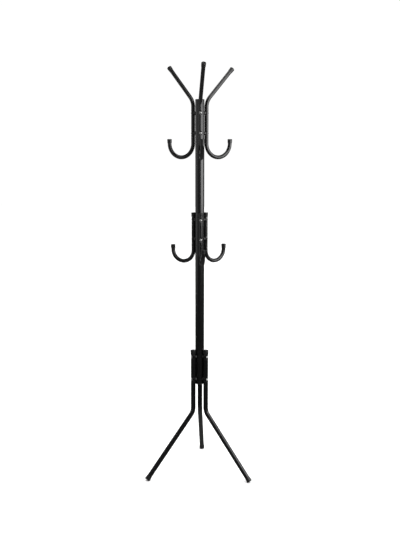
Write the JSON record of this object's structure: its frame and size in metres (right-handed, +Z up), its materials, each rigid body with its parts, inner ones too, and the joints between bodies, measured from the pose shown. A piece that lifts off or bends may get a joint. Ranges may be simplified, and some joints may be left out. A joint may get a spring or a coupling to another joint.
{
  "type": "standing coat rack",
  "caption": "Slim free-standing coat rack: a black steel pole on splayed tube legs, with bent-tube hooks at the top and half way up.",
  "frame": {"origin": "on the floor, in the middle of the stand's footprint box; the pole's axis stands at X = 5 mm, Y = -49 mm", "axes": "+Z up along the pole; +X to the right and +Y to the back as seen by someone facing the front hooks; the single leg is at the back"},
  "size_m": [0.4453, 0.4105, 1.7038],
  "materials": {
    "powder_coat": "satin black powder coat with a fine orange peel",
    "cap": "moulded black plastic, fine satin grain",
    "spacer": "matt black moulded spacer",
    "plated_bolt": "bright nickel-plated steel",
    "zinc": "zinc-plated steel"
  },
  "bodies": {
    "base": {"lower_tube": "powder_coat", "pole_bottom_plug": "cap", "rear_leg": "powder_coat", "front_left_leg": "powder_coat", "front_right_leg": "powder_coat", "rear_foot_cap": "cap", "front_left_foot_cap": "cap", "front_right_foot_cap": "cap", "rear_leg_top_cap": "cap", "front_left_leg_top_cap": "cap", "front_right_leg_top_cap": "cap", "leg_spacers": "spacer", "leg_bolts": "plated_bolt", "leg_rivet_nuts": "zinc"},
    "upper": {"upper_tube": "powder_coat", "pole_top_cap": "cap", "front_top_hook": "powder_coat", "right_top_hook": "powder_coat", "left_top_hook": "powder_coat", "front_arm_cap": "cap", "right_arm_cap": "cap", "left_arm_cap": "cap", "front_top_tip_cap": "cap", "right_top_tip_cap": "cap", "left_top_tip_cap": "cap", "top_spacers": "spacer", "top_bolts": "plated_bolt", "top_rivet_nuts": "zinc", "front_middle_hook": "powder_coat", "right_middle_hook": "powder_coat", "left_middle_hook": "powder_coat", "front_middle_tip_cap": "cap", "right_middle_tip_cap": "cap", "left_middle_tip_cap": "cap", "front_middle_stem_cap": "cap", "right_middle_stem_cap": "cap", "left_middle_stem_cap": "cap", "middle_spacers": "spacer", "middle_bolts": "plated_bolt", "middle_rivet_nuts": "zinc"}
  },
  "joints": [
    {"name": "pole_turn", "type": "hinge", "parent": "base", "child": "upper", "pos_m": [0.005, -0.049, 0.978], "axis": [0, 0, 1], "continuous": true}
  ]
}
